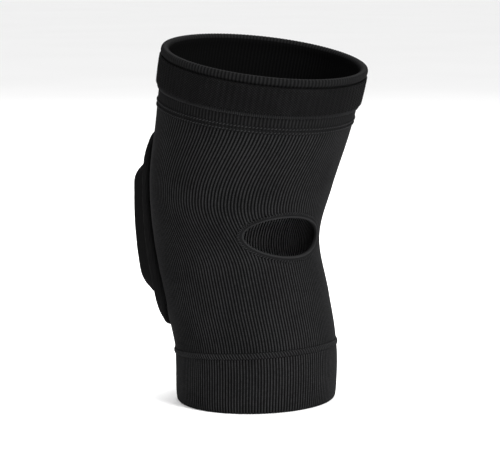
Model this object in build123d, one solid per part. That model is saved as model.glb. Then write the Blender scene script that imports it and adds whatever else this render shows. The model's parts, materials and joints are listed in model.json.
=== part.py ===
from build123d import *
from math import ceil, cos, hypot, pi, radians, sin
import os

# Padded elbow sleeve: a knitted tube, bent at the elbow, with a folded cuff below, an elastic cuff above,
# a bound opening in the crook (+Y) and a two-step foam pad on the point of the elbow (-Y).
# Millimetres. +Z runs up the upper arm, +X is the tube's width. It stands on the rim of its lower cuff.

# ---- sleeve surface: rings from the lower rim upwards --------------------------------------------
# height of the ring's centre, centre's Y, mean radius, and how much the ring climbs per mm of Y
RINGS = [
    (0, 0.0, 44.6, 0.0),
    (31, -0.5, 45.0, 0.07),
    (58, -8.5, 46.2, 0.03),
    (89, -17.2, 46.5, 0.02),
    (122, -13.3, 51.0, -0.085),
    (155, -3.0, 53.5, -0.15),
    (180, 3.7, 54.8, -0.20),
    (194, 7.6, 55.0, -0.20),
]
WIDTH_RATIO = 1.05  # half-width over mean radius, and mean radius over half-depth
RING_PITCH = 12.0  # greatest height between two rings of one piece

# ---- cloth ----------------------------------------------------------------------------------------
KNIT = 2.0  # thickness of the ribbed knit
PLY = 1.3  # thickness of one ply of the folded lower cuff
COVER = 0.9  # thickness of the pad's cover fabric
GAP = 0.12  # clearance between two layers that lie on each other
SEAM_GAP = 0.35  # clearance under a raised seam, and across the elbow's joint
THREAD_R = 0.28  # radius of the sewing thread
RIDGE_ROUND = 0.4  # a raised seam's edge radius over its height
OVERCUT = 0.5  # how far a cut runs past the face that it opens

# ---- lower cuff -----------------------------------------------------------------------------------
LOWER_SEAM_Z = 30.3
CUFF_ELASTIC = 1.0
CUFF_FOLD_R = 1.3
CUFF_POCKET_LOW = PLY + 1.0  # foot of the space between the two plies
ELASTIC_LOW = PLY + 2.0
ELASTIC_HIGH = LOWER_SEAM_Z - 4.0
LOWER_RIDGE_WIDTH = 4.0
LOWER_RIDGE_PROUD = 0.4
LOWER_STITCHES = 64
STITCH_INSET = 0.6  # from a raised seam's edge to the ends of its stitches
STITCH_LEAN = 0.6  # of a pitch, on a raised seam

# ---- upper cuff -----------------------------------------------------------------------------------
UPPER_SEAM_Z = 163.8
UPPER_SEAM_WIDTH = 4.6
UPPER_SEAM_PROUD = 0.3
UPPER_ROW_APART = 2.5
UPPER_STITCHES = 72
UPPER_STITCH_FILL = 0.55  # of a pitch
BAND_LOW_Z = 174.3
BAND_HIGH_Z = 189.0
BAND_THICK = 1.9
BAND_SEAM_Z = 172.8
BAND_SEAM_WIDTH = 2.6
BAND_SEAM_PROUD = 0.6
BAND_STITCHES = 90
LIP_LOW_Z = 189.5
LIP_HIGH_Z = 193.8
LIP_PROUD = 1.7
LIP_INNER = KNIT + 0.6
LIP_ROUND = 1.5

# ---- opening in the crook ---------------------------------------------------------------------------
CROOK_Z = 94.9
CROOK_HALF_WIDTH = 27.1
CROOK_HALF_HEIGHT = 10.8
CROOK_TILT = 6.2  # degrees by which the opening rises towards +X
BINDING_WIDTH = 2.8
BINDING_PROUD = 0.7
BINDING_GRIP = 1.4  # how far the binding laps over the knit's edge
CROOK_CUT = 80.0  # depth of the plug that cuts the opening, from the middle of the sleeve outwards
CROOK_SPAN = 24.0  # stretch of the sleeve each way that is sure to hold the whole hem
CROOK_STITCHES = 52
CROOK_STITCH_LEAN = 0.02  # radians round the opening that each end of a stitch is off its middle

# ---- pad on the point of the elbow ------------------------------------------------------------------
# each outline is a rounded rectangle: height of its centre, half-width, half-height, corner radius
PAD_FOOT_Y = -56.0  # plane in which the two foot outlines are drawn
PAD_HEAD_Y = -76.0  # plane in which the two head outlines are drawn
PAD_INNER_Y = -18.0  # planes that the pad's blocks run between, before they are cut to the sleeve
PAD_OUTER_Y = -92.0
BASE_FOOT = (96.0, 41.5, 54.6, 19.0)
BASE_HEAD = (96.0, 38.5, 51.3, 16.0)
BASE_TOP = 4.8  # outer face of the base above the sleeve
BASE_ROUND = 1.7
DOME_FOOT = (97.0, 36.0, 42.0, 13.0)
DOME_HEAD = (94.6, 32.6, 30.6, 10.0)
DOME_TOP = 16.5  # outer face of the dome above the sleeve
DOME_ROUND = 5.0
DOME_LAP = 3.0  # how far the border cover runs in under the dome
HEM_TOP = 1.1
HEM_INSET = 1.6  # the hem lies this far under the base's edge, which leaves a groove
HEM_WIDTH = 5.0
HEM_REACH = HEM_INSET + HEM_WIDTH
COVER_LOW = HEM_TOP + GAP  # underside of the border cover
PAD_Z_LOW = 22.0  # stretch of the sleeve that is sure to hold the whole pad
PAD_Z_HIGH = 170.0
LEDGE_WIDTH = 1.5
LEDGE_PROUD = 1.1
LEDGE_STITCHES = 64
LEDGE_STITCH_OUT = 1.2  # from the raised seam to the stitches beside it
EDGE_STITCHES = 84
EDGE_STITCH_OUT = 0.5  # from the hem's edge to its stitches
RUNNING_FILL = 0.6  # of a pitch, in the pad's running stitches


# ---- the sleeve surface -------------------------------------------------------------------------------
def slope_of(column, i):
    """Tangent of one column of RINGS at ring i."""
    low = RINGS[max(i - 1, 0)]
    high = RINGS[min(i + 1, len(RINGS) - 1)]
    return (high[column] - low[column]) / (high[0] - low[0])


def smooth(column, z):
    """One column of RINGS at height z, by cubic interpolation."""
    i = max(k for k in range(len(RINGS) - 1) if RINGS[k][0] <= max(z, 0))
    low, high = RINGS[i], RINGS[i + 1]
    span = high[0] - low[0]
    t = (z - low[0]) / span
    return (
        (2 * t**3 - 3 * t**2 + 1) * low[column]
        + (t**3 - 2 * t**2 + t) * span * slope_of(column, i)
        + (3 * t**2 - 2 * t**3) * high[column]
        + (t**3 - t**2) * span * slope_of(column, i + 1)
    )


def half_axes(z, offset):
    """Half-width and half-depth of the ring at z, the fabric's outer face moved out by offset."""
    radius = smooth(2, z)
    return radius * WIDTH_RATIO + offset, radius / WIDTH_RATIO + offset


def ring(z, offset):
    """Ring of the sleeve at z, as a face."""
    climb = smooth(3, z)
    half_width, half_depth = half_axes(z, offset)
    tilted = Plane(origin=(0, smooth(1, z), z), x_dir=(1, 0, 0), z_dir=(0, -climb, 1))
    return tilted * Ellipse(half_width, half_depth * hypot(1, climb))


def tube(z_low, z_high, offset):
    """Solid plug of the sleeve between two rings, out to offset from the fabric's outer face."""
    count = max(1, ceil((z_high - z_low) / RING_PITCH))
    heights = [z_low + (z_high - z_low) * i / count for i in range(count + 1)]
    return loft([ring(z, offset) for z in heights])


def shell(z_low, z_high, inner, outer):
    """Hollow stretch of the sleeve between two offsets from the fabric's outer face."""
    return tube(z_low, z_high, outer) - tube(z_low, z_high, inner)


def on_ring(z, angle, offset):
    """Point of the ring at z; angle in radians, 0 along +X, a quarter turn along +Y."""
    half_width, half_depth = half_axes(z, offset)
    across = half_depth * sin(angle)
    return Vector(half_width * cos(angle), smooth(1, z) + across, z + smooth(3, z) * across)


def on_side(x, height, offset, side):
    """Point of the surface at a given X and height, on the crook's side (1) or the pad's side (-1)."""
    z = height
    for _ in range(6):
        half_width, half_depth = half_axes(z, offset)
        across = side * half_depth * (1 - (x / half_width) ** 2) ** 0.5
        z = height - smooth(3, z) * across
    return Vector(x, smooth(1, z) + across, height)


# ---- stitches -----------------------------------------------------------------------------------------
def thread(start, end):
    """One straight stitch."""
    run = end - start
    place = Plane(origin=start, z_dir=run)
    return place * Cylinder(THREAD_R, run.length, align=(Align.CENTER, Align.CENTER, Align.MIN))


def ring_stitches(count, z_from, z_to, lean, offset):
    """Stitches round a ring, each from z_from to z_to while it moves on by lean of a pitch."""
    pitch = 2 * pi / count
    return Compound(
        children=[
            thread(on_ring(z_from, i * pitch, offset), on_ring(z_to, (i + lean) * pitch, offset))
            for i in range(count)
        ]
    )


# ---- pad outlines -------------------------------------------------------------------------------------
def pad_outline(foot, head, by, y):
    """Centre height, half-width, half-height and corner of a pad block where it crosses the plane at y."""
    share = (y - PAD_FOOT_Y) / (PAD_HEAD_Y - PAD_FOOT_Y)
    centre_z, half_width, half_height, corner = (f + (h - f) * share for f, h in zip(foot, head))
    return centre_z, half_width + by, half_height + by, corner + by


def pad_prism(foot, head, by):
    """Tapering block through both outlines, grown by a margin, from inside the sleeve to beyond the dome."""

    def section(y):
        centre_z, half_width, half_height, corner = pad_outline(foot, head, by, y)
        side = Plane(origin=(0, y, centre_z), x_dir=(1, 0, 0), z_dir=(0, -1, 0))
        return side * RectangleRounded(2 * half_width, 2 * half_height, corner)

    return loft([section(PAD_INNER_Y), section(PAD_OUTER_Y)], ruled=True)


def pad_edge_point(foot, head, by, share, offset):
    """Point at a share of the way round a pad block, where its side meets the sleeve's surface at offset."""
    y = PAD_FOOT_Y
    for _ in range(5):
        centre_z, half_width, half_height, corner = pad_outline(foot, head, by, y)
        flat = RectangleRounded(2 * half_width, 2 * half_height, corner).wire().position_at(share)
        place = on_side(flat.X, centre_z + flat.Y, offset, -1)
        y = place.Y
    return place


def pad_edge_stitches_at(count, foot, head, by, fill, offset):
    """Running stitches round a pad block; each fills a share of its pitch."""
    stitches = []
    for i in range(count):
        ends = [pad_edge_point(foot, head, by, share / count, offset) for share in (i, i + fill)]
        stitches.append(thread(*ends))
    return Compound(children=stitches)


# ---- pieces -------------------------------------------------------------------------------------------
def crook_prism(grow):
    """Elliptical plug through the crook's wall."""
    tilt = radians(CROOK_TILT)
    side = Plane(origin=(0, 0, CROOK_Z), x_dir=(cos(tilt), 0, sin(tilt)), z_dir=(0, -1, 0))
    outline = side * Ellipse(CROOK_HALF_WIDTH + grow, CROOK_HALF_HEIGHT + grow)
    return extrude(outline, amount=-CROOK_CUT)


def sleeve_body():
    wall = shell(LOWER_SEAM_Z + GAP / 2, UPPER_SEAM_Z - SEAM_GAP, -KNIT, 0)
    return wall - crook_prism(BINDING_WIDTH - BINDING_GRIP)


def crook_binding():
    """Hem of the crook's opening: a channel that grips the knit's edge."""
    low, high = CROOK_Z - CROOK_SPAN, CROOK_Z + CROOK_SPAN
    border = crook_prism(BINDING_WIDTH) - crook_prism(0)
    slot = shell(low, high, -KNIT - GAP, GAP) - crook_prism(BINDING_WIDTH - BINDING_GRIP - GAP)
    return (shell(low, high, -KNIT - BINDING_PROUD, BINDING_PROUD) & border) - slot


def crook_point(angle, grow, offset):
    """Point beside the opening's edge, grow outside it."""
    tilt = radians(CROOK_TILT)
    along = (CROOK_HALF_WIDTH + grow) * cos(angle)
    up = (CROOK_HALF_HEIGHT + grow) * sin(angle)
    x = along * cos(tilt) - up * sin(tilt)
    height = CROOK_Z + along * sin(tilt) + up * cos(tilt)
    return on_side(x, height, offset, 1)


def crook_stitches():
    """Overlock stitches across the hem's outer half."""
    offset = BINDING_PROUD + GAP + THREAD_R
    stitches = []
    for i in range(CROOK_STITCHES):
        angle = 2 * pi * i / CROOK_STITCHES
        start = crook_point(angle - CROOK_STITCH_LEAN, BINDING_WIDTH - 1.7, offset)
        end = crook_point(angle + CROOK_STITCH_LEAN, BINDING_WIDTH - 0.2, offset)
        stitches.append(thread(start, end))
    return Compound(children=stitches)


def lower_cuff():
    """Rib-knit strip folded up on itself: two plies joined by the round fold at the rim."""
    thick = 2 * PLY + CUFF_ELASTIC + 2 * GAP
    top = LOWER_SEAM_Z - GAP / 2
    block = shell(0, top, -thick, 0)
    rim = block.edges().group_by(Axis.Z)[0]
    block = fillet(rim, CUFF_FOLD_R)
    return block - shell(CUFF_POCKET_LOW, top, -thick + PLY, -PLY)


def lower_cuff_elastic():
    return shell(ELASTIC_LOW, ELASTIC_HIGH, -PLY - GAP - CUFF_ELASTIC, -PLY - GAP)


def seam_ridge(z_mid, width, proud):
    """Rounded seam that stands proud of the fabric all the way round."""
    block = shell(z_mid - width / 2, z_mid + width / 2, SEAM_GAP, SEAM_GAP + proud)
    outer = sorted(
        block.edges().filter_by(GeomType.LINE, reverse=True), key=lambda e: e.bounding_box().size.X
    )[-2:]
    return fillet(outer, RIDGE_ROUND * proud)


def upper_cuff_knit():
    """Ribbed knit from the upper seam, up behind the band, to the lip that rolls out over it."""
    wall = shell(UPPER_SEAM_Z, LIP_LOW_Z, -KNIT, 0)
    lip = shell(LIP_LOW_Z, LIP_HIGH_Z, -LIP_INNER, LIP_PROUD)
    return wall + fillet(lip.edges().filter_by(GeomType.LINE, reverse=True), LIP_ROUND)


def upper_elastic_band():
    return shell(BAND_LOW_Z, BAND_HIGH_Z, GAP, GAP + BAND_THICK)


def pad_space(foot, head, by, low, high, rounding):
    """Space over the elbow inside a tapering outline, between two offsets from the sleeve."""
    block = shell(PAD_Z_LOW, PAD_Z_HIGH, low, high) & pad_prism(foot, head, by)
    if rounding == 0:
        return block
    outer_face = sorted(block.faces(), key=lambda face: face.center().Y)[0]
    return fillet(outer_face.edges(), rounding)


def base_space(by, low, high, rounding=0.0):
    return pad_space(BASE_FOOT, BASE_HEAD, by, low, high, rounding)


def dome_space(by, low, high, rounding=0.0):
    return pad_space(DOME_FOOT, DOME_HEAD, by, low, high, rounding)


def pad_base_foam():
    """Foam sheet, rebated at the back of its edge for the cover's turn-in."""
    skin = COVER + GAP
    sheet = base_space(-skin, COVER_LOW + skin, BASE_TOP - skin, BASE_ROUND - COVER)
    back = base_space(-HEM_REACH - 2 * GAP, GAP, COVER_LOW + skin)
    return sheet + back


def pad_border_cover():
    """Fabric over the base: top, side and a turn-in behind the foam's edge, open under the dome."""
    outside = base_space(0, COVER_LOW, BASE_TOP, BASE_ROUND)
    inside = base_space(-COVER, COVER_LOW + COVER, BASE_TOP - COVER, BASE_ROUND - COVER)
    back_opening = base_space(-HEM_REACH - GAP, COVER_LOW - OVERCUT, COVER_LOW + COVER + OVERCUT)
    dome_opening = dome_space(-DOME_LAP, BASE_TOP - COVER - OVERCUT, BASE_TOP + OVERCUT)
    return outside - inside - back_opening - dome_opening


def pad_dome_foam():
    """Thick foam block that rests on the base foam through the opening in the border cover."""
    skin = COVER + GAP
    block = dome_space(-skin, BASE_TOP + GAP, DOME_TOP - skin, DOME_ROUND - COVER)
    plug = dome_space(-DOME_LAP - GAP, BASE_TOP - COVER, BASE_TOP + GAP)
    return block + plug


def pad_dome_cover():
    outside = dome_space(0, BASE_TOP + GAP, DOME_TOP, DOME_ROUND)
    return outside - dome_space(-COVER, BASE_TOP - OVERCUT, DOME_TOP - COVER, DOME_ROUND - COVER)


def pad_edge_hem():
    """Flat hem that joins the pad's cover to the sleeve, tucked under the base's edge."""
    return base_space(-HEM_INSET, GAP, HEM_TOP) - base_space(-HEM_REACH, 0, HEM_TOP + OVERCUT)


def pad_ledge_seam():
    """Raised seam at the dome's foot."""
    low = BASE_TOP + GAP
    wide = dome_space(GAP + LEDGE_WIDTH, low, low + LEDGE_PROUD)
    return wide - dome_space(GAP, low - OVERCUT, low + LEDGE_PROUD + OVERCUT)


def pad_edge_stitches():
    side = (BASE_FOOT, BASE_HEAD, EDGE_STITCH_OUT - HEM_INSET)
    return pad_edge_stitches_at(EDGE_STITCHES, *side, RUNNING_FILL, GAP + THREAD_R)


def pad_ledge_stitches():
    side = (DOME_FOOT, DOME_HEAD, LEDGE_WIDTH + LEDGE_STITCH_OUT)
    return pad_edge_stitches_at(LEDGE_STITCHES, *side, RUNNING_FILL, BASE_TOP + GAP + THREAD_R)


# ---- the seams' threads ---------------------------------------------------------------------------------
def slanted_stitches(count, z_mid, width, proud):
    """Overlock stitches across a raised seam."""
    reach = width / 2 - STITCH_INSET
    offset = SEAM_GAP + proud + GAP + THREAD_R
    return ring_stitches(count, z_mid - reach, z_mid + reach, STITCH_LEAN, offset)


def upper_seam_stitches():
    """Two rows of running stitches."""
    offset = SEAM_GAP + UPPER_SEAM_PROUD + GAP + THREAD_R
    rows = []
    for z in (UPPER_SEAM_Z - UPPER_ROW_APART / 2, UPPER_SEAM_Z + UPPER_ROW_APART / 2):
        rows += ring_stitches(UPPER_STITCHES, z, z, UPPER_STITCH_FILL, offset).children
    return Compound(children=rows)


parts = {
    "sleeve_body": sleeve_body(),
    "crook_binding": crook_binding(),
    "crook_stitches": crook_stitches(),
    "lower_cuff": lower_cuff(),
    "lower_cuff_elastic": lower_cuff_elastic(),
    "lower_seam_ridge": seam_ridge(LOWER_SEAM_Z, LOWER_RIDGE_WIDTH, LOWER_RIDGE_PROUD),
    "lower_seam_stitches": slanted_stitches(
        LOWER_STITCHES, LOWER_SEAM_Z, LOWER_RIDGE_WIDTH, LOWER_RIDGE_PROUD
    ),
    "upper_cuff_knit": upper_cuff_knit(),
    "upper_elastic_band": upper_elastic_band(),
    "upper_seam_ridge": seam_ridge(UPPER_SEAM_Z, UPPER_SEAM_WIDTH, UPPER_SEAM_PROUD),
    "upper_seam_stitches": upper_seam_stitches(),
    "band_seam_ridge": seam_ridge(BAND_SEAM_Z, BAND_SEAM_WIDTH, BAND_SEAM_PROUD),
    "band_seam_stitches": slanted_stitches(
        BAND_STITCHES, BAND_SEAM_Z, BAND_SEAM_WIDTH, BAND_SEAM_PROUD
    ),
    "pad_base_foam": pad_base_foam(),
    "pad_border_cover": pad_border_cover(),
    "pad_dome_foam": pad_dome_foam(),
    "pad_dome_cover": pad_dome_cover(),
    "pad_edge_hem": pad_edge_hem(),
    "pad_edge_stitches": pad_edge_stitches(),
    "pad_ledge_seam": pad_ledge_seam(),
    "pad_ledge_stitches": pad_ledge_stitches(),
}

# the origin is the middle of the whole object's footprint, on the surface that it stands on
whole = Compound(list(parts.values())).bounding_box()
to_origin = Pos(-whole.center().X, -whole.center().Y, -whole.min.Z)
print("moved by", to_origin.position, "size", whole.size)

os.makedirs("parts", exist_ok=True)
for name, shape in parts.items():
    export_step(to_origin * shape, f"parts/{name}.step")
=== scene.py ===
import json
import math

import bmesh
import bpy
import numpy as np
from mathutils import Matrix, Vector
from mathutils.bvhtree import BVHTree


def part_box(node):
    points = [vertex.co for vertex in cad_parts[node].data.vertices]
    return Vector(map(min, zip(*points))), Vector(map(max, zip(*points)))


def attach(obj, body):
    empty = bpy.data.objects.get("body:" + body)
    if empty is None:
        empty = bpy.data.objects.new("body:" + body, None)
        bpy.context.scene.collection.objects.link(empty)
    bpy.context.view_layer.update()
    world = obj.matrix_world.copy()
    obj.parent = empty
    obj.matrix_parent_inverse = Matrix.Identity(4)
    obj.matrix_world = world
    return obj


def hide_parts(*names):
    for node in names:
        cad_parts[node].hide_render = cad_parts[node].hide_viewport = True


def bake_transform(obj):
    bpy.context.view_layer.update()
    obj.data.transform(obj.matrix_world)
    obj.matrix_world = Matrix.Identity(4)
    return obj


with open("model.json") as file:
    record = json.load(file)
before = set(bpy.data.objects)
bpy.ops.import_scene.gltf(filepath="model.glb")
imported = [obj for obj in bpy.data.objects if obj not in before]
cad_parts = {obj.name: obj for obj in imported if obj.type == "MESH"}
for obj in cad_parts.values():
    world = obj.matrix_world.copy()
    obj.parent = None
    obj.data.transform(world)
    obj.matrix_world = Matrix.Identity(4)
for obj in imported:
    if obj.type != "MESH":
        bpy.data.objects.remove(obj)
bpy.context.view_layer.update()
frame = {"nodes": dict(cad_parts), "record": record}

# Looks of the padded elbow sleeve. Lengths are in millimetres until a mesh is made, and in metres after.

MM = 0.001
FOREARM, UPPER_ARM = "forearm_section", "upper_arm_section"
MOUNTS = {mount["name"]: mount for mount in frame["record"]["mounts"]}
CUFF_Y = MOUNTS["forearm_opening"]["pos_m"][1] / MM

# ---- the sleeve's surface, as in the CAD model ------------------------------------------------------
# height of the ring's centre, centre's Y from the lower cuff's, mean radius, climb per mm of Y
RINGS = np.array(
    [
        (0, 0.0, 44.6, 0.0),
        (31, -0.5, 45.0, 0.07),
        (58, -8.5, 46.2, 0.03),
        (89, -17.2, 46.5, 0.02),
        (122, -13.3, 51.0, -0.085),
        (155, -3.0, 53.5, -0.15),
        (180, 3.7, 54.8, -0.20),
        (194, 7.6, 55.0, -0.20),
    ]
)
WIDTH_RATIO = 1.05
KNIT = 2.0
PLY = 1.3
CUFF_THICK = 3.84
LOWER_SEAM_Z = 30.3
UPPER_SEAM_Z = 163.8
BAND_SEAM_Z = 172.8
BAND_LOW_Z, BAND_HIGH_Z = 174.1, 189.1
LIP_LOW_Z, LIP_HIGH_Z = 189.5, 193.8
BAND_IN, BAND_OUT = 0.15, 2.0
LIP_OUT = 1.75

JOIN = 0.1  # from a seam's middle to the knit that it joins

# ---- cloth ------------------------------------------------------------------------------------------
RIBS = 172
RIB_STEPS = 4  # columns of the mesh for one rib
COLUMNS = RIBS * RIB_STEPS
RIB_DEPTH = 0.55
BODY_BACK_RELIEF = 0.7  # share of the ribs' depth that shows on the inside of the body
CUFF_BACK_RELIEF = 0.6
BAND_CORDS = 106
COURSE = 1.1  # height of one row of knitted loops
TWIST = math.radians(-17)  # how far the ribs are dragged round the sleeve just above the elbow
TWIST_RISE = (77.0, 119.0)
TWIST_EASE = (122.0, 170.0)
TWIST_EASED = 0.55
STITCH_POINTS = 6
FINE_THREAD = 0.2  # radius

# ---- the crook's opening ----------------------------------------------------------------------------
CROOK_Z = 94.9
CROOK_HALF = (27.1, 10.8)
CROOK_TILT = math.radians(6.2)
BINDING_WIDTH = 2.8
BINDING_GRIP = 1.4
BEAD_ROWS = range(5, 9)  # points of the binding's section that make the bead at its inner edge
# Painted light: the inside of the knit is painted lighter where the opening shows it, standing in for the light
# that comes in through it. These are ring heights: the patch's middle, and how far from there it starts to fade
# and has faded.
PAINTED_LIGHT_Z = CROOK_Z - 12.0
PAINTED_LIGHT_NEAR, PAINTED_LIGHT_FAR = 13.0, 28.0


def smooth(column, z):
    """One column of RINGS at the heights z, by cubic interpolation."""
    heights, values = RINGS[:, 0], RINGS[:, column]
    last = len(heights) - 1
    i = np.clip(np.searchsorted(heights, z, side="right") - 1, 0, last - 1)
    before, after = np.maximum(np.arange(last + 1) - 1, 0), np.minimum(np.arange(last + 1) + 1, last)
    slopes = (values[after] - values[before]) / (heights[after] - heights[before])
    span = heights[i + 1] - heights[i]
    t = (z - heights[i]) / span
    return (
        (2 * t**3 - 3 * t**2 + 1) * values[i]
        + (t**3 - 2 * t**2 + t) * span * slopes[i]
        + (3 * t**2 - 2 * t**3) * values[i + 1]
        + (t**3 - t**2) * span * slopes[i + 1]
    )


def wall(z, angle, offset):
    """Points of the sleeve's wall, in metres, at ring heights, angles round the ring and offsets from the
    knit's face."""
    z, angle, offset = np.broadcast_arrays(np.asarray(z, float), angle, offset)
    radius = smooth(2, z)
    across = (radius / WIDTH_RATIO + offset) * np.sin(angle)
    along = (radius * WIDTH_RATIO + offset) * np.cos(angle)
    return np.stack([along, CUFF_Y + smooth(1, z) + across, z + smooth(3, z) * across], -1) * MM


def on_side(x, height, offset, side):
    """Points of the wall, in metres, at given X and heights: side is 1 for the crook and -1 for the pad."""
    x, height, offset = np.broadcast_arrays(np.asarray(x, float), height, offset)
    z = height.copy()
    for _ in range(6):  # the ring height settles after a few rounds
        radius = smooth(2, z)
        share = np.clip(1 - (x / (radius * WIDTH_RATIO + offset)) ** 2, 0, 1)
        across = side * (radius / WIDTH_RATIO + offset) * np.sqrt(share)
        z = height - smooth(3, z) * across
    return np.stack([x, CUFF_Y + smooth(1, z) + across, height], -1) * MM


def step(value, ends):
    """Smooth step from 0 to 1 between two ends."""
    t = np.clip((np.asarray(value, float) - ends[0]) / (ends[1] - ends[0]), 0, 1)
    return t * t * (3 - 2 * t)


def twist(z):
    """Angle by which the body's ribs are dragged round at ring height z."""
    return TWIST * step(z, TWIST_RISE) * (1 - TWIST_EASED * step(z, TWIST_EASE))


def crook_point(turn, grow, offset):
    """Points beside the opening's edge, grow mm outside it."""
    along = (CROOK_HALF[0] + grow) * np.cos(turn)
    up = (CROOK_HALF[1] + grow) * np.sin(turn)
    x = along * math.cos(CROOK_TILT) - up * math.sin(CROOK_TILT)
    height = CROOK_Z + along * math.sin(CROOK_TILT) + up * math.cos(CROOK_TILT)
    return on_side(x, height, offset, 1)


# ---- meshes -----------------------------------------------------------------------------------------
def new_piece(name, verts, faces, uvs=None):
    """Mesh object from arrays of points and faces, with a UV map of ribs and courses if it is knitted."""
    mesh = bpy.data.meshes.new(name)
    mesh.from_pydata(np.asarray(verts).reshape(-1, 3).tolist(), [], [list(map(int, f)) for f in faces])
    if uvs is not None:
        mesh.uv_layers.new(name="knit").data.foreach_set("uv", np.asarray(uvs, np.float32).ravel())
    piece = bpy.data.objects.new(name, mesh)
    bpy.context.scene.collection.objects.link(piece)
    mesh.polygons.foreach_set("use_smooth", [True] * len(mesh.polygons))
    return piece


def face_outwards(piece):
    """Drops unused points and turns every face outwards."""
    bm = bmesh.new()
    bm.from_mesh(piece.data)
    loose = [v for v in bm.verts if not v.link_faces]
    bmesh.ops.delete(bm, geom=loose, context="VERTS")
    bmesh.ops.recalc_face_normals(bm, faces=bm.faces)
    bm.to_mesh(piece.data)
    bm.free()


def angles_round(count):
    """Angles of points evenly spaced round a full turn."""
    return 2 * np.pi * np.arange(count) / count


def grid_faces(count_i, count_j, closed_i, closed_j):
    """Corners of the four-sided faces of a grid of points, which may close on itself either way."""
    index = np.arange(count_i * count_j).reshape(count_i, count_j)
    if closed_i:
        index = np.concatenate([index, index[:1]])
    if closed_j:
        index = np.concatenate([index, index[:, :1]], axis=1)
    return np.stack([index[:-1, :-1], index[1:, :-1], index[1:, 1:], index[:-1, 1:]], -1)


def knit_uvs(columns, course):
    """UVs of a grid's faces: the ribs round the sleeve, and the given courses up it."""
    rib = np.arange(columns + 1) * RIBS / columns
    u = np.stack([rib[:-1], rib[1:], rib[1:], rib[:-1]], -1)[:, None, :]
    v = np.stack([course[:-1], course[:-1], course[1:], course[1:]], -1)[None, :, :]
    return np.stack(np.broadcast_arrays(u, v), -1)


def ring_solid(name, section, columns, relief):
    """Closed ring round the sleeve. section lists (ring height, offset, share of the relief) once round
    the cut face. relief is the change of offset for each column, or for each column and section point."""
    section = np.asarray(section, float)
    relief = relief[:, None] if relief.ndim == 1 else relief
    offset = section[None, :, 1] + relief * section[None, :, 2]
    points = wall(section[None, :, 0], angles_round(columns)[:, None], offset)
    faces = grid_faces(columns, len(section), True, True)
    steps = np.hypot(*np.diff(np.vstack([section, section[:1]])[:, :2], axis=0).T)
    course = np.concatenate([[0], np.cumsum(steps)]) / COURSE
    return new_piece(name, points, faces.reshape(-1, 4), knit_uvs(columns, course))


def rib_relief(groove=1.0):
    """Drop below the ribs' crests for each of the knit's columns, in mm."""
    return -RIB_DEPTH * groove * (0.5 - 0.5 * np.cos(RIBS * angles_round(COLUMNS))) ** 1.3


def threads(name, paths, radius, sides=6, closed=False):
    """Threads with the same number of points each, as tubes in one mesh. Points are in metres, radius in mm."""
    paths = np.asarray(paths, float)
    many, count = paths.shape[:2]
    if closed:
        run = np.roll(paths, -1, 1) - np.roll(paths, 1, 1)
    else:
        run = np.gradient(paths, axis=1)
    run /= np.linalg.norm(run, axis=-1, keepdims=True)
    off_line = np.broadcast_to(np.array([0.12, 0.2, 1.0]), run.shape)  # no thread runs quite this way
    side = np.cross(run, off_line)
    side /= np.linalg.norm(side, axis=-1, keepdims=True)
    out = np.cross(side, run)
    turn = angles_round(sides)[:, None]
    skin = np.cos(turn) * side[:, :, None, :] + np.sin(turn) * out[:, :, None, :]
    points = paths[:, :, None, :] + skin * radius * MM
    base = np.arange(many * count * sides).reshape(many, count, sides)
    after = np.roll(base, -1, 1) if closed else base[:, 1:]
    before = base if closed else base[:, :-1]
    quads = np.stack([before, np.roll(before, -1, 2), np.roll(after, -1, 2), after], -1)
    quads = quads.reshape(-1, 4).tolist()
    if not closed:
        quads += base[:, 0, ::-1].tolist() + base[:, -1].tolist()
    piece = new_piece(name, points, quads)
    face_outwards(piece)
    return piece


def arch(t, low, high):
    """Offset along a stitch that rises out of the cloth, crosses it and goes back in."""
    return low + (high - low) * np.sin(np.pi * t) ** 0.6


def ring_stitches(z_from, z_to, turn_from, turn_to, low, high):
    """Stitches round the sleeve, from one ring height to another, at each pair of angles."""
    t = np.linspace(0, 1, STITCH_POINTS)[None, :]
    turn = turn_from[:, None] + (turn_to - turn_from)[:, None] * t
    return wall(z_from + (z_to - z_from) * t, turn, arch(t, low, high))


def mesh_tree(*nodes):
    """Search tree of CAD nodes' faces."""
    verts, faces = [], []
    for node in nodes:
        mesh = frame["nodes"][node].data
        start = len(verts)
        verts += [v.co.copy() for v in mesh.vertices]
        faces += [[start + k for k in p.vertices] for p in mesh.polygons]
    return BVHTree.FromPolygons(verts, faces)


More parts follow.
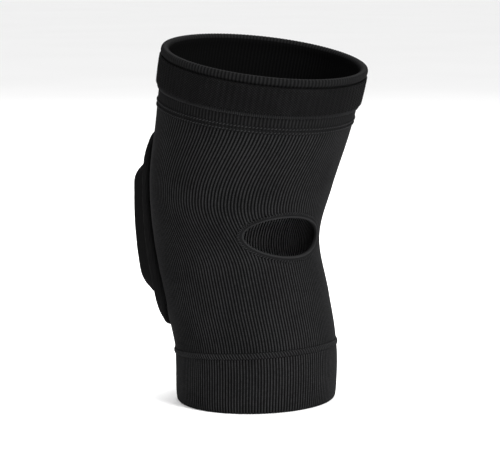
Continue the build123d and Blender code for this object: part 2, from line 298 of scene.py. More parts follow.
# ---- materials --------------------------------------------------------------------------------------
class Cloth:
    """Node material with short helpers, which add nodes and link them."""

    def __init__(self, name, roughness, specular=0.012):
        self.material = bpy.data.materials.new(name)
        self.material.use_nodes = True
        self.nodes = self.material.node_tree.nodes
        self.links = self.material.node_tree.links
        self.shader = self.nodes["Principled BSDF"]
        self.shader.inputs["Roughness"].default_value = roughness
        self.shader.inputs["Specular IOR Level"].default_value = specular

    def put(self, socket, value):
        """Links the socket to another node's output, or sets it to a number."""
        if isinstance(value, bpy.types.NodeSocket):
            self.links.new(value, socket)
        else:
            socket.default_value = value

    def math(self, operation, first, second=0.0, third=0.0):
        node = self.nodes.new("ShaderNodeMath")
        node.operation = operation
        for socket, value in zip(node.inputs, (first, second, third)):
            self.put(socket, value)
        return node.outputs[0]

    def cosine(self, turns, share=0.5, middle=0.5):
        """Cosine wave of a number of turns, from 0 to 1 unless another share and middle are given."""
        wave = self.math("COSINE", self.math("MULTIPLY", turns, 2 * math.pi))
        return self.math("MULTIPLY_ADD", wave, share, middle)

    def fade(self, distance, near, far):
        """1 at distances up to near, and 0 from far on, on either side."""
        node = self.nodes.new("ShaderNodeMapRange")
        node.interpolation_type = "SMOOTHSTEP"
        self.links.new(self.math("ABSOLUTE", distance), node.inputs["Value"])
        node.inputs["From Min"].default_value = near
        node.inputs["From Max"].default_value = far
        node.inputs["To Min"].default_value = 1.0
        node.inputs["To Max"].default_value = 0.0
        return node.outputs[0]

    def ribs_and_courses(self):
        """The knit's own coordinates: ribs round the sleeve and courses up it."""
        node = self.nodes.new("ShaderNodeUVMap")
        node.uv_map = "knit"
        split = self.nodes.new("ShaderNodeSeparateXYZ")
        self.links.new(node.outputs["UV"], split.inputs[0])
        return split.outputs[0], split.outputs[1]

    def place(self):
        """The point's place on the object, in metres."""
        node = self.nodes.new("ShaderNodeTexCoord")
        return node.outputs["Object"]

    def noise(self, scale, detail=2.0):
        node = self.nodes.new("ShaderNodeTexNoise")
        node.inputs["Scale"].default_value = scale
        node.inputs["Detail"].default_value = detail
        self.links.new(self.place(), node.inputs["Vector"])
        return node.outputs[0]

    def wave(self, direction, scale):
        node = self.nodes.new("ShaderNodeTexWave")
        node.bands_direction = direction
        node.inputs["Scale"].default_value = scale
        self.links.new(self.place(), node.inputs["Vector"])
        return node.outputs["Fac"]

    def colour(self, share, dark, light):
        """Base colour between dark and light."""
        node = self.nodes.new("ShaderNodeMix")
        node.data_type = "RGBA"
        self.put(node.inputs["Factor"], share)
        node.inputs[6].default_value = (*dark, 1)
        node.inputs[7].default_value = (*light, 1)
        self.links.new(node.outputs[2], self.shader.inputs["Base Color"])

    def bump(self, height, distance, strength):
        """Relief of the shading, distance mm high."""
        node = self.nodes.new("ShaderNodeBump")
        node.inputs["Strength"].default_value = strength
        node.inputs["Distance"].default_value = distance * MM
        self.links.new(height, node.inputs["Height"])
        self.links.new(node.outputs[0], self.shader.inputs["Normal"])


def rib_knit(name, dark, light, painted_light_near=None):
    """Ribbed knit: grooves darkened with painted shade, lighter crests made of small V-shaped loops, and fibre.
    The last argument gives a course, and how far from it the crests start to fade to the grooves' colour and have
    faded: painted light, kept only near that course."""
    cloth = Cloth(name, 0.86)
    rib, course = cloth.ribs_and_courses()
    crest = cloth.cosine(rib)
    rib_share = cloth.math("FRACT", cloth.math("ADD", rib, 0.5))
    from_crest = cloth.math("ABSOLUTE", cloth.math("SUBTRACT", rib_share, 0.5))
    loops = cloth.cosine(cloth.math("SUBTRACT", cloth.math("MULTIPLY_ADD", from_crest, 1.6, course), 0.25))
    fibre = cloth.noise(2600.0)
    wear = cloth.math("MULTIPLY_ADD", cloth.noise(45.0, 3.0), 0.9, 0.5)
    fuzz = cloth.math("MULTIPLY_ADD", cloth.noise(700.0, 3.0), 1.3, 0.35)
    # Painted shade: the colour falls from the crests to the dark groove colour, standing in for the shade in the
    # grooves.
    shade = cloth.math("MULTIPLY", cloth.math("POWER", crest, 1.4), cloth.math("MULTIPLY", wear, fuzz))
    shade = cloth.math("MULTIPLY", shade, cloth.math("MULTIPLY_ADD", loops, 0.35, 0.75))
    # Painted light: the crests keep their light only near the given course and fade to the grooves' colour away
    # from it.
    if painted_light_near:
        middle, near, far = painted_light_near
        shade = cloth.math("MULTIPLY", shade, cloth.fade(cloth.math("SUBTRACT", course, middle), near, far))
    cloth.colour(cloth.math("MINIMUM", shade, 1.0), dark, light)
    height = cloth.math("MULTIPLY", loops, crest)
    cloth.bump(cloth.math("MULTIPLY_ADD", fibre, 0.5, cloth.math("MULTIPLY", height, 0.5)), 0.12, 0.8)
    return cloth.material


def woven(name, dark, light):
    """Woven elastic: a light knot where each pair of yarns crosses, and painted shade between."""
    cloth = Cloth(name, 0.8)
    rib, course = cloth.ribs_and_courses()
    warp = cloth.cosine(rib, 1.0, 0.0)
    weft = cloth.cosine(course, 1.0, 0.0)
    knots = cloth.math("MULTIPLY_ADD", cloth.math("MULTIPLY", warp, weft), 0.5, 0.5)
    wear = cloth.math("MULTIPLY_ADD", cloth.noise(60.0, 3.0), 0.9, 0.55)
    fuzz = cloth.math("MULTIPLY_ADD", cloth.noise(800.0, 3.0), 1.6, 0.2)
    # Painted shade: the colour falls to dark between the knots, standing in for the shade in the gaps between
    # yarns.
    shade = cloth.math("MULTIPLY", cloth.math("POWER", knots, 2.5), cloth.math("MULTIPLY", wear, fuzz))
    cloth.colour(cloth.math("MINIMUM", shade, 1.0), dark, light)
    cloth.bump(cloth.math("MULTIPLY_ADD", cloth.noise(2400.0), 0.4, knots), 0.10, 0.8)
    return cloth.material


def plain_cloth(name, dark, light, roughness=0.85, grain=1500.0, weave=0.0):
    """Fine cloth, foam or thread: fibre, soft mottling and, if wanted, a small weave."""
    cloth = Cloth(name, roughness)
    mottle = cloth.noise(70.0, 4.0)
    fibre = cloth.noise(grain, 3.0)
    shade = cloth.math("MULTIPLY_ADD", fibre, 0.6, cloth.math("MULTIPLY", mottle, 0.6))
    cloth.colour(cloth.math("MINIMUM", shade, 1.0), dark, light)
    height = fibre
    if weave:
        across = cloth.math("MULTIPLY", cloth.wave("X", weave), cloth.wave("Z", weave))
        height = cloth.math("MULTIPLY_ADD", across, 0.8, fibre)
    cloth.bump(height, 0.08, 0.7)
    return cloth.material


def grey(level):
    """Grey with a touch of blue."""
    return (level, level, level * 1.03)


# Each knit's first grey is the painted shade in its grooves, the second the colour of its crests.
KNIT_CLOTH = rib_knit("rib_knit_cloth", grey(0.0015), grey(0.0185))
# Inside of the body: painted light on the crests where the opening shows the inside, flat dark elsewhere.
PAINTED_LIGHT_PATCH = ((PAINTED_LIGHT_Z - LOWER_SEAM_Z) / COURSE, PAINTED_LIGHT_NEAR / COURSE, PAINTED_LIGHT_FAR / COURSE)
KNIT_BACK_PAINTED_LIGHT = rib_knit("rib_knit_back_painted_light", grey(0.0055), grey(0.19), painted_light_near=PAINTED_LIGHT_PATCH)
CUFF_CLOTH = rib_knit("cuff_knit_cloth", grey(0.0013), grey(0.0205))
LIP_CLOTH = rib_knit("lip_knit_cloth", grey(0.0038), grey(0.0110))
# Inside of the upper cuff: painted shade, a near-flat dark knit that stands in for the shade inside the opening.
PAINTED_SHADE_KNIT = rib_knit("cuff_knit_back_painted_shade", grey(0.0022), grey(0.0034))
BAND_CLOTH = woven("woven_elastic_cloth", grey(0.0006), grey(0.0150))
PAD_CLOTH = plain_cloth("pad_cloth", grey(0.0014), grey(0.0042), weave=500.0)
BINDING_CLOTH = plain_cloth("binding_cloth", grey(0.0022), grey(0.0085))
BEAD_CLOTH = plain_cloth("binding_edge_cloth", grey(0.0060), grey(0.0190))
SEAM_CLOTH = plain_cloth("seam_cloth", grey(0.0018), grey(0.0080))
THREAD = plain_cloth("thread", grey(0.009), grey(0.026), roughness=0.6, grain=4000.0)
PAD_THREAD = plain_cloth("pad_thread", grey(0.002), grey(0.006), roughness=0.6, grain=4000.0)
FOAM = plain_cloth("foam", grey(0.02), grey(0.05), roughness=0.9, grain=900.0)
INNER_ELASTIC = plain_cloth("inner_elastic_cloth", grey(0.02), grey(0.05), roughness=0.7, weave=900.0)


# ---- how pieces move --------------------------------------------------------------------------------
def bend_zone():
    """Start and end of the stretch that bends: from just above the lower seam to just below the upper one."""
    low_edge, high_edge = LOWER_SEAM_Z + 2.4, UPPER_SEAM_Z - 2.8
    end = np.array([0, CUFF_Y + smooth(1, high_edge), high_edge]) * MM
    normal = np.array([0, -smooth(3, UPPER_SEAM_Z), 1.0])
    normal /= np.linalg.norm(normal)
    front = wall(low_edge, np.pi / 2, 0)
    start = end - normal * ((end - front) @ normal)
    return start, end


BEND_START, BEND_END = bend_zone()


def dress(piece, material, slot, *nodes):
    """Gives a piece its material and hides the CAD nodes that it stands for; its slot argument is not used."""
    piece.data.materials.clear()
    piece.data.materials.append(material)
    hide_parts(*nodes)
    return piece


def rides(piece, body):
    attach(piece, body)
    return piece


def bends(piece):
    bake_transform(piece)
    return piece


# ---- the knitted tube -------------------------------------------------------------------------------
def across_opening(points, grow):
    """Places of points in the opening's own axes, in shares of its half sizes grown by so many mm."""
    x, z = points[..., 0] / MM, points[..., 2] / MM - CROOK_Z
    along = x * math.cos(CROOK_TILT) + z * math.sin(CROOK_TILT)
    up = z * math.cos(CROOK_TILT) - x * math.sin(CROOK_TILT)
    return along / (CROOK_HALF[0] + grow), up / (CROOK_HALF[1] + grow)


def open_edges(faces):
    """Edges of a set of faces that only one face has, each in that face's direction."""
    edges = {}
    for a, b, c, d in faces:
        for edge in ((a, b), (b, c), (c, d), (d, a)):
            key = (min(edge), max(edge))
            edges[key] = None if key in edges else edge
    return list(filter(None, edges.values()))


def sleeve_body():
    """Ribbed tube, two faces thick, with the crook's opening cut through it."""
    rows = 62
    z = np.linspace(LOWER_SEAM_Z + JOIN, UPPER_SEAM_Z - 2 * JOIN, rows)
    relief = rib_relief()
    offsets = [relief[:, None], -KNIT - BODY_BACK_RELIEF * relief[::-1][:, None]]
    turned = angles_round(COLUMNS)[:, None] + twist(z)[None, :]
    layers = [wall(z[None, :], turned, offset) for offset in offsets]

    grip = BINDING_WIDTH - BINDING_GRIP
    along, up = across_opening(layers[0], grip)
    corners = grid_faces(COLUMNS, rows, True, False)
    inside = np.hypot(along, up).ravel()[corners].mean(-1) < 1
    open_cell = inside & (np.sin(turned)[:, :-1] > 0)
    kept = corners[~open_cell]
    cut = np.intersect1d(kept.ravel(), corners[open_cell].ravel())
    edge_turn = np.arctan2(up, along).ravel()[cut]
    for layer, offset in zip(layers, offsets):
        depth = np.broadcast_to(offset, turned.shape).ravel()[cut]
        layer.reshape(-1, 3)[cut] = crook_point(edge_turn, grip, depth)

    inner = COLUMNS * rows
    rim = [(a, b, b + inner, a + inner) for a, b in open_edges(kept.tolist())]
    faces = kept.tolist() + (kept[:, ::-1] + inner).tolist() + rim
    uvs = knit_uvs(COLUMNS, (z - z[0]) / COURSE)[~open_cell]
    all_uvs = np.concatenate([uvs, uvs[:, ::-1], np.zeros((len(rim), 4, 2))])
    piece = new_piece("knit_sleeve", np.concatenate(layers), faces, all_uvs)
    face_outwards(piece)
    dress(piece, KNIT_CLOTH, "rib_knit", "sleeve_body")
    # The inside faces get the knit with the painted light patch.
    piece.data.materials.append(KNIT_BACK_PAINTED_LIGHT)
    for face in range(len(kept), 2 * len(kept)):
        piece.data.polygons[face].material_index = 1
    return bends(piece)


def lower_cuff():
    """Strip folded up on itself: outer ply, round fold at the rim, inner ply, and the pocket between them."""
    top = LOWER_SEAM_Z - JOIN
    fold_z = 2.6  # where the plies start to turn into the fold
    swell = 0.45  # of the outer ply, half way up
    pocket_z = (top, 20, 10, 3.2)
    up = np.linspace(0, 1, 16)
    outer = [(fold_z + (top - fold_z) * t, swell * np.sin(np.pi * t) ** 0.6, 1) for t in up]
    inner = [(fold_z + (top - fold_z) * t, -CUFF_THICK, -CUFF_BACK_RELIEF) for t in up[::-3]]
    fold = []
    for turn in np.linspace(0, np.pi, 12)[1:-1]:
        offset = -CUFF_THICK / 2 * (1 + math.cos(turn))
        fold.append((fold_z * (1 - math.sin(turn)), offset, -CUFF_BACK_RELIEF if turn < 1.2 else 1))
    pocket = [(z, -PLY, 0) for z in pocket_z] + [(z, PLY - CUFF_THICK, 0) for z in pocket_z[::-1]]
    piece = ring_solid("folded_lower_cuff", outer + pocket + inner + fold, COLUMNS, rib_relief())
    dress(piece, CUFF_CLOTH, "rib_knit", "lower_cuff")
    return rides(piece, FOREARM)


def upper_cuff():
    """Knit strip under the band, up behind it, and the lip that rolls out at the top."""
    strip = [(z, 0, 1) for z in np.linspace(UPPER_SEAM_Z + JOIN, BAND_SEAM_Z, 6)]
    behind = [(z, 0, 0.2) for z in np.linspace(BAND_LOW_Z, LIP_LOW_Z - 0.3, 4)]
    low, high = LIP_LOW_Z + 0.25, LIP_HIGH_Z
    middle, half = (low + high) / 2, (high - low) / 2
    rolled = []
    for turn in np.linspace(-0.5 * np.pi, 0.5 * np.pi, 12)[1:-1]:
        rolled.append((middle + half * math.sin(turn), LIP_OUT * math.cos(turn) ** 0.6 - 0.1, 1.15))
    over = [(high - 0.1, -1.0, 0.9), (high - 0.7, -2.1, 0.6), (high - 1.8, -KNIT - 0.6, 0.3)]
    down = np.linspace(LIP_LOW_Z - 2, UPPER_SEAM_Z + JOIN, 6)
    inside = [(LIP_LOW_Z, -KNIT - 0.4, -0.3)] + [(z, -KNIT, -CUFF_BACK_RELIEF) for z in down]
    section = strip + behind + rolled + over + inside
    piece = ring_solid("ribbed_upper_cuff", section, COLUMNS, rib_relief(1.1))
    dress(piece, LIP_CLOTH, "rib_knit", "upper_cuff_knit")
    # The inside faces of the cuff get the knit with painted shade.
    piece.data.materials.append(PAINTED_SHADE_KNIT)
    shaded = len(section) - len(inside) - 1
    for face in piece.data.polygons:
        if shaded <= face.index % len(section) < len(section) - 1:
            face.material_index = 1
    return rides(piece, UPPER_ARM)


def elastic_band():
    """Woven elastic: broad soft ribs, with a small knot wherever two yarns cross."""
    cord_steps, weft_steps = 8, 4  # columns for one cord, and rows for one turn of the weft
    columns, rows = BAND_CORDS * cord_steps, 41
    end, edge = 0.35, 0.5  # rounding of the band's edges, up and outwards
    z = np.linspace(BAND_LOW_Z + end, BAND_HIGH_Z - end, rows)
    section = [(height, BAND_OUT, 1) for height in z]
    section += [(BAND_HIGH_Z, BAND_OUT - edge, 0), (BAND_HIGH_Z, BAND_IN, 0)]
    section += [(BAND_LOW_Z, BAND_IN, 0), (BAND_LOW_Z, BAND_OUT - edge, 0)]
    cord = 2 * np.pi * np.arange(columns)[:, None] / cord_steps
    weft = 2 * np.pi * np.arange(len(section))[None, :] / weft_steps
    knots = 0.5 + 0.5 * np.cos(2 * cord) * np.cos(weft)
    piece = ring_solid("woven_elastic_band", section, columns, 0.22 * np.cos(cord) + 0.36 * knots - 0.50)
    layer = piece.data.uv_layers["knit"].data
    flat = np.zeros(len(layer) * 2, np.float32)
    layer.foreach_get("uv", flat)
    uv = flat.reshape(-1, 2)
    uv[:, 0] *= 2 * BAND_CORDS / RIBS
    uv[:, 1] *= COURSE / ((z[1] - z[0]) * weft_steps)
    layer.foreach_set("uv", uv.ravel())
    dress(piece, BAND_CLOTH, "woven_elastic", "upper_elastic_band")
    return rides(piece, UPPER_ARM)


# ---- seams ------------------------------------------------------------------------------------------
def half_round(z_mid, width, low, proud, flatness=0.5):
    """Section of a raised seam: flat underneath, round outside."""
    section = []
    for turn in np.linspace(-0.5 * np.pi, 0.5 * np.pi, 9):
        section.append((z_mid + width / 2 * math.sin(turn), low + proud * math.cos(turn) ** flatness, 1))
    return section


def seam(name, node, section, body):
    pulled = 0.16 * np.cos(RIBS * angles_round(COLUMNS))
    piece = ring_solid(name, section, COLUMNS, pulled)
    dress(piece, SEAM_CLOTH, "seam_binding", node)
    return rides(piece, body)


def slanted_stitches(z_mid, width, count, lean, low, high):
    """Stitches across a seam, which lean by a share of their pitch."""
    pitch = 2 * np.pi / count
    turn = angles_round(count) + pitch / 2
    return ring_stitches(z_mid - width / 2, z_mid + width / 2, turn + lean * pitch, turn, low, high)


def thread_piece(name, node, paths, radius, body, material=THREAD):
    """Threads that ride on a body, or are left on their own with their placement baked into the mesh if body is
    None.
    """
    piece = threads(name, paths, radius)
    dress(piece, material, "thread", node)
    return rides(piece, body) if body else bends(piece)


def lower_seam():
    seam("lower_overlock_seam", "lower_seam_ridge", half_round(LOWER_SEAM_Z, 3.4, 0.0, 0.42), FOREARM)
    slanted = slanted_stitches(LOWER_SEAM_Z, 3.0, RIBS, 1.0, 0.0, 0.6)
    thread_piece("lower_seam_threads", "lower_seam_stitches", slanted, 0.27, FOREARM)


def upper_seam():
    """Two flat humps side by side, each with a row of short stitches."""
    row_apart, hump_width, rise = 2.5, 1.9, 0.6
    turn = angles_round(RIBS)
    stitch = 0.5 * 2 * np.pi / RIBS
    humps, rows = [], []
    for middle in (UPPER_SEAM_Z - row_apart / 2, UPPER_SEAM_Z + row_apart / 2):
        humps += half_round(middle, hump_width, -0.2, 0.3)
        rows.append(ring_stitches(middle - rise / 2, middle + rise / 2, turn, turn + stitch, -0.1, 0.42))
    seam("upper_flat_seam", "upper_seam_ridge", humps, UPPER_ARM)
    thread_piece("upper_seam_threads", "upper_seam_stitches", np.concatenate(rows), 0.27, UPPER_ARM)


def band_seam():
    seam("band_seam_bead", "band_seam_ridge", half_round(BAND_SEAM_Z, 2.5, 0.0, 0.75), UPPER_ARM)
    close = slanted_stitches(BAND_SEAM_Z, 2.4, RIBS * 2, 0.8, 0.25, 0.9)
    thread_piece("band_seam_threads", "band_seam_stitches", close, FINE_THREAD, UPPER_ARM)


# ---- crook opening ----------------------------------------------------------------------------------
def crook_binding():
    """Turned hem: a ring round the opening, with a bead along its inner edge."""
    # growth from the opening's edge, and offset from the knit's face
    section = np.array(
        [
            (2.8, -0.1), (2.65, 0.22), (2.3, 0.36), (1.8, 0.38), (1.35, 0.32), (1.05, 0.50), (0.6, 0.70),
            (0.15, 0.50), (-0.05, 0.0), (0.0, -1.3), (0.15, -2.4), (0.7, -2.7), (1.7, -2.7), (2.6, -2.5),
            (2.8, -2.0),
        ]
    )
    columns, rows = 360, len(section)
    turn = angles_round(columns)[:, None]
    grow, offset = section[None, :, 0], section[None, :, 1]
    pulled = 0.05 * np.cos(90 * turn) * (grow > 0.9)
    points = crook_point(turn, grow, offset + pulled)
    piece = new_piece("crook_hem", points, grid_faces(columns, rows, True, True).reshape(-1, 4))
    face_outwards(piece)
    dress(piece, BINDING_CLOTH, "seam_binding", "crook_binding")
    piece.data.materials.append(BEAD_CLOTH)
    for face in piece.data.polygons:
        if face.index % rows in BEAD_ROWS:
            face.material_index = 1
    return bends(piece)


def crook_stitches():
    """Overlock round the hem's outer edge."""
    count, inner_end, length, lean = 96, 2.0, 1.3, 0.03
    t = np.linspace(0, 1, STITCH_POINTS)[None, :]
    turn = angles_round(count)[:, None] + lean * (t - 0.5)
    paths = crook_point(turn, inner_end + length * t, arch(t, 0.1, 0.52))
    return thread_piece("crook_hem_threads", "crook_stitches", paths, FINE_THREAD, None)


# ---- the pad ----------------------------------------------------------------------------------------
SIM_SCALE = 10.0  # the cloth is simulated at ten times its size, where the solver is steadier
AHEAD = Vector((0, 1, 0))
OUTSIDE_Y = -0.2
SWELL_SMOOTHING = 8  # rounds that take the wrinkles out of the swell
DOME_SWELL, BORDER_SWELL = 1.3, 0.7  # most that each cover may swell
PAD_RADIUS = RINGS[3, 2]  # of the sleeve behind the pad's middle
PAD_RIB_PITCH, PAD_RIB_DEPTH = 1.6, 0.22
COVER = 0.7  # thickness of the pad's cloth
FOAM_VOXEL = 1.6


def hit_y(tree, x, z):
    """Y where a ray from behind the elbow meets the tree's surface, or None. Metres."""
    place = tree.ray_cast(Vector((x, OUTSIDE_Y, z)), AHEAD)[0]
    return None if place is None else place.y


class Outline:
    """Edge of a pad layer as seen from behind, found in the CAD model by rays."""

    def __init__(self, *nodes):
        self.tree = mesh_tree(*nodes)
        low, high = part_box(nodes[0])
        self.centre = np.array([(low.x + high.x) / 2, (low.z + high.z) / 2])
        self.half = np.array([(high.x - low.x) / 2, (high.z - low.z) / 2])
        self.turns = np.linspace(0, 2 * np.pi, 241)
        self.reaches = np.array([self.reach_of(turn) for turn in self.turns])

    def reach_of(self, turn):
        """Distance from the centre to the edge along a turn, by halving the stretch that holds it."""
        direction = np.array([math.cos(turn), math.sin(turn)])
        inside, outside = 0.6 * self.half.min(), 1.5 * self.half.max()
        for _ in range(16):
            middle = (inside + outside) / 2
            x, z = self.centre + middle * direction
            if hit_y(self.tree, x, z) is None:
                outside = middle
            else:
                inside = middle
        return inside

    def spot(self, turn, share, grow=0.0):
        """X and Z at a share of the way out along each turn, and grown by so many metres."""
        reach = np.interp(np.mod(turn, 2 * np.pi), self.turns, self.reaches)
        reach = reach * share + grow
        return self.centre[0] + reach * np.cos(turn), self.centre[1] + reach * np.sin(turn)


def heights(tree, x, z):
    """Y of the tree's surface at each X and Z. A miss gets the Y of the hit nearest to the arm."""
    flat = [hit_y(tree, a, b) for a, b in zip(np.ravel(x), np.ravel(z))]
    known = [v for v in flat if v is not None]
    return np.array([max(known) if v is None else v for v in flat]).reshape(np.shape(x))


def turn_out(piece):
    """Makes a cover's faces look away from the arm, which is towards -Y."""
    area_y = sum(face.normal.y * face.area for face in piece.data.polygons)
    if area_y > 0:
        piece.data.flip_normals()


def simulate(piece, pinned, pressure, cap):
    """Swells the cover by as much as simulated cloth rises under inner pressure, with its pinned points
    held. It only goes outwards, by cap mm at most."""
    rest = np.array([v.co[:] for v in piece.data.vertices])
    normals = np.array([v.normal[:] for v in piece.data.vertices])
    edges = np.array([edge.vertices[:] for edge in piece.data.edges])
    piece.data.vertices.foreach_set("co", (rest * SIM_SCALE).astype(np.float32).ravel())
    group = piece.vertex_groups.new(name="pinned")
    group.add([int(k) for k in pinned], 1.0, "REPLACE")
    cloth = piece.modifiers.new("cloth", "CLOTH")
    settings = cloth.settings
    settings.quality = 6
    settings.mass = 0.25
    settings.tension_stiffness = 12
    settings.compression_stiffness = 12
    settings.bending_stiffness = 1.5
    settings.use_pressure = True
    settings.uniform_pressure_force = pressure
    settings.effector_weights.gravity = 0
    settings.vertex_group_mass = "pinned"
    cloth.collision_settings.use_collision = False
    for number in range(1, 21):
        bpy.context.scene.frame_set(number)
    shown = piece.evaluated_get(bpy.context.evaluated_depsgraph_get())
    settled = np.array([v.co[:] for v in shown.data.vertices]) / SIM_SCALE
    piece.modifiers.remove(cloth)
    bpy.context.scene.frame_set(1)
    swell = np.clip(((settled - rest) * normals).sum(1), 0, cap * MM)
    neighbours = np.bincount(edges.ravel(), minlength=len(rest))
    for _ in range(SWELL_SMOOTHING):
        total = np.bincount(edges[:, 0], swell[edges[:, 1]], len(rest))
        total += np.bincount(edges[:, 1], swell[edges[:, 0]], len(rest))
        swell = (swell + total / neighbours) / 2
        swell[pinned] = 0
    piece.data.vertices.foreach_set("co", (rest + normals * swell[:, None]).astype(np.float32).ravel())


def applied(piece, *modifiers):
    """Adds modifiers to a piece and makes their result its mesh."""
    for kind, values in modifiers:
        added = piece.modifiers.new(kind.lower(), kind)
        for key, value in values.items():
            setattr(added, key, value)
    shown = piece.evaluated_get(bpy.context.evaluated_depsgraph_get())
    mesh = bpy.data.meshes.new_from_object(shown)
    piece.modifiers.clear()
    piece.vertex_groups.clear()
    piece.data = mesh
    mesh.polygons.foreach_set("use_smooth", [True] * len(mesh.polygons))
    return piece


def pad_ribs(piece):
    """Fine upright ribs of the pad's cloth, as real relief."""
    mesh = piece.data
    co = np.array([v.co[:] for v in mesh.vertices])
    normals = np.array([v.normal[:] for v in mesh.vertices])
    centre_y = (smooth(1, co[:, 2] / MM) + CUFF_Y) * MM
    arc = np.arctan2(co[:, 0], centre_y - co[:, 1]) * PAD_RADIUS
    rib = np.cos(2 * np.pi * arc / PAD_RIB_PITCH)
    co += normals * (PAD_RIB_DEPTH / 2 * MM * rib)[:, None]
    mesh.vertices.foreach_set("co", co.astype(np.float32).ravel())
    mesh.update()


def finish_cover(piece, name, node):
    applied(piece, ("SUBSURF", {"levels": 2, "render_levels": 2}))
    pad_ribs(piece)
    applied(piece, ("SOLIDIFY", {"thickness": COVER * MM, "offset": -1.0}))
    dress(piece, PAD_CLOTH, "pad_fabric", node)
    return bends(piece)


def dome_cover(dome):
    """Cloth over the thick foam, on a grid that follows the dome's outline."""
    nu, nv = 40, 46
    u, v = np.meshgrid(np.linspace(-1, 1, nu), np.linspace(-1, 1, nv), indexing="ij")
    rho = np.maximum(np.abs(u), np.abs(v))
    turn = np.arctan2(v * dome.half[1], u * dome.half[0])
    crowded = 1 - (1 - rho) ** 1.5  # brings more rows to the dome's steep sides
    x, z = dome.spot(turn, crowded * 0.997)
    y = heights(dome.tree, x, z)
    faces = grid_faces(nu, nv, False, False).reshape(-1, 4)
    piece = new_piece("dome_cover_cloth", np.stack([x, y, z], -1), faces)
    turn_out(piece)
    simulate(piece, np.flatnonzero(rho.ravel() > 0.999), pressure=3.0, cap=DOME_SWELL)
    return finish_cover(piece, "dome_cover_cloth", "pad_dome_cover")


def border_cover(dome, base):
    """Cloth over the thin base: from under the dome, out over the edge, down its side and in underneath."""
    columns = 220
    out = np.array([0, 0.12, 0.3, 0.5, 0.68, 0.84, 0.95])[None, :]  # from the dome's foot to the edge
    down = (0.14, 0.45, 0.8, 1.0, 1.0)  # from the edge to the sleeve
    grows = (0.0, 0.1, 0.0, -0.7, -2.6)  # and how far out of the outline each of those rows is
    turn = angles_round(columns)[:, None]
    inner_x, inner_z = dome.spot(turn, 1.0, -1.2 * MM)
    outer_x, outer_z = base.spot(turn, 1.0)
    x, z = inner_x + (outer_x - inner_x) * out, inner_z + (outer_z - inner_z) * out
    top = heights(base.tree, x, z)
    top[:, :2] = top[:, 2:3]
    floor = on_side(outer_x[:, 0] / MM, outer_z[:, 0] / MM, 1.2, -1)[:, 1]
    rows = [np.stack([x, top, z], -1)]
    for share, grow in zip(down, grows):
        side_x, side_z = base.spot(turn[:, 0], 1.0, grow * MM)
        side_y = top[:, -1] + (floor - top[:, -1]) * share
        rows.append(np.stack([side_x, side_y, side_z], -1)[:, None, :])
    points = np.concatenate(rows, axis=1)
    index = np.arange(points.shape[0] * points.shape[1]).reshape(points.shape[:2])
    faces = grid_faces(*index.shape, True, False).reshape(-1, 4)
    piece = new_piece("border_cover_cloth", points, faces)
    turn_out(piece)
    pinned = np.concatenate([index[:, :2].ravel(), index[:, -2:].ravel()])
    simulate(piece, pinned, pressure=2.0, cap=BORDER_SWELL)
    return finish_cover(piece, "border_cover_cloth", "pad_border_cover")


def running_turns(count, t):
    """Angles of the points of running stitches, each over the shares t of its pitch."""
    return 2 * np.pi * (np.arange(count)[:, None] + t[None, :]) / count


def pad_seams(dome, base):
    """Raised seam at the dome's foot, running stitches beside it, and the stitches at the base's edge."""
    def over_border(turn, grow, lift):
        x, z = dome.spot(turn, 1.0, grow * MM)
        return np.stack([x, heights(base.tree, x, z) - lift * MM, z], -1)

    cord_radius = 0.75
    line = over_border(angles_round(300), cord_radius, 0.35)
    cord = threads("dome_foot_seam", line[None, :, :], cord_radius, sides=10, closed=True)
    dress(cord, PAD_CLOTH, "pad_fabric", "pad_ledge_seam")
    bends(cord)
    t = np.linspace(0, 0.62, 5)
    rise = 0.05 + 0.3 * np.sin(np.pi * t / t[-1])
    paths = over_border(running_turns(88, t), 2.6, rise[None, :])
    thread_piece("dome_foot_threads", "pad_ledge_stitches", paths, FINE_THREAD, None, PAD_THREAD)
    x, z = base.spot(running_turns(120, t), 1.0, -1.0 * MM)
    paths = on_side(x / MM, z / MM, 0.45, -1)
    thread_piece("pad_edge_threads", "pad_edge_stitches", paths, FINE_THREAD, None, PAD_THREAD)


def copied(name, node, material, slot, voxel=None):
    """A CAD solid that has to bend with the cloth around it, as a mesh of its own. Remeshed if voxel is given."""
    mesh = frame["nodes"][node].data.copy()
    mesh.name = name
    piece = bpy.data.objects.new(name, mesh)
    bpy.context.scene.collection.objects.link(piece)
    if voxel:
        applied(piece, ("REMESH", {"mode": "VOXEL", "voxel_size": voxel * MM}))
    dress(piece, material, slot, node)
    return bends(piece)


def pad():
    dome = Outline("pad_dome_cover")
    base = Outline("pad_border_cover", "pad_dome_cover")
    base_top = Outline("pad_border_cover", "pad_base_foam")
    dome_cover(dome)
    border_cover(dome, base_top)
    pad_seams(dome, base_top)
    copied("base_foam_sheet", "pad_base_foam", FOAM, "foam", FOAM_VOXEL)
    copied("dome_foam_block", "pad_dome_foam", FOAM, "foam", FOAM_VOXEL)
    copied("pad_hem_strip", "pad_edge_hem", PAD_CLOTH, "pad_fabric")


# ---- stage ------------------------------------------------------------------------------------------
def area_light(name, place, aim, size, power):
    light = bpy.data.lights.new(name, "AREA")
    light.shape = "DISK"
    light.size = size
    light.energy = power
    lamp = bpy.data.objects.new(name, light)
    bpy.context.scene.collection.objects.link(lamp)
    lamp.location = place
    lamp.rotation_mode = "QUATERNION"
    lamp.rotation_quaternion = (Vector(aim) - Vector(place)).to_track_quat("-Z", "Y")


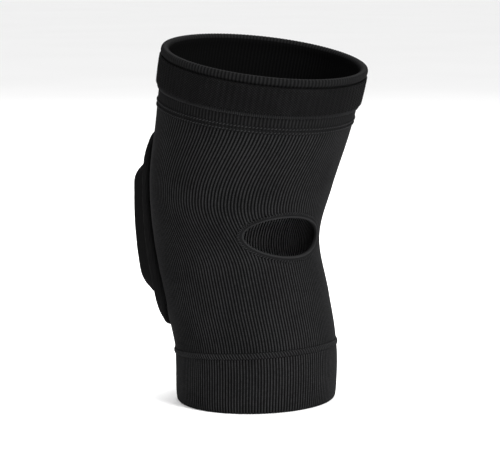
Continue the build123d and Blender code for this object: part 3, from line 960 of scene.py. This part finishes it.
def around(azimuth, elevation, distance, centre):
    """Place of a viewer at an azimuth (0 looks along +Y), elevation and distance from the centre."""
    a, e = math.radians(azimuth), math.radians(elevation)
    back = Vector((math.sin(a) * math.cos(e), -math.cos(a) * math.cos(e), math.sin(e)))
    return centre + back * distance


def stage():
    view_centre = Vector((0, (CUFF_Y - 5.8) * MM, 98.0 * MM))
    azimuth, elevation, distance = 140.0, 7.93, 1.112
    seen_width = 0.282  # width of the picture at the object
    camera = bpy.data.objects.new("camera", bpy.data.cameras.new("camera"))
    bpy.context.scene.collection.objects.link(camera)
    camera.location = around(azimuth, elevation, distance, view_centre)
    camera.rotation_mode = "QUATERNION"
    camera.rotation_quaternion = (view_centre - camera.location).to_track_quat("-Z", "Y")
    camera.data.sensor_width = 36.0
    camera.data.lens = camera.data.sensor_width * distance / seen_width
    bpy.context.scene.camera = camera

    half = 20.0
    corners = [(-half, -half, 0), (half, -half, 0), (half, half, 0), (-half, half, 0)]
    floor = new_piece("floor", corners, [(0, 1, 2, 3)])
    paper = Cloth("paper", 0.9)
    paper.colour(paper.noise(3.0), (0.90, 0.90, 0.90), (0.94, 0.94, 0.94))
    floor.data.materials.append(paper.material)

    world = bpy.data.worlds.new("studio")
    world.use_nodes = True
    world.node_tree.nodes["Background"].inputs["Color"].default_value = (1, 1, 1, 1)
    world.node_tree.nodes["Background"].inputs["Strength"].default_value = 0.95
    bpy.context.scene.world = world
    bpy.context.scene.view_settings.view_transform = "Standard"
    middle = Vector((0, 0, 0.1))
    area_light("key", around(185, 30, 1.3, middle), middle, size=0.5, power=21)
    area_light("fill", around(80, 25, 1.5, middle), middle, size=0.9, power=3)
    area_light("top", around(140, 75, 1.5, middle), middle, size=0.9, power=4)
    area_light("back", around(315, 50, 1.6, middle), middle, size=0.9, power=24)


stage()
sleeve_body()
lower_cuff()
upper_cuff()
elastic_band()
lower_seam()
upper_seam()
band_seam()
crook_binding()
crook_stitches()
pad()
frame["nodes"]["lower_cuff_elastic"].data.materials.clear()
frame["nodes"]["lower_cuff_elastic"].data.materials.append(INNER_ELASTIC)
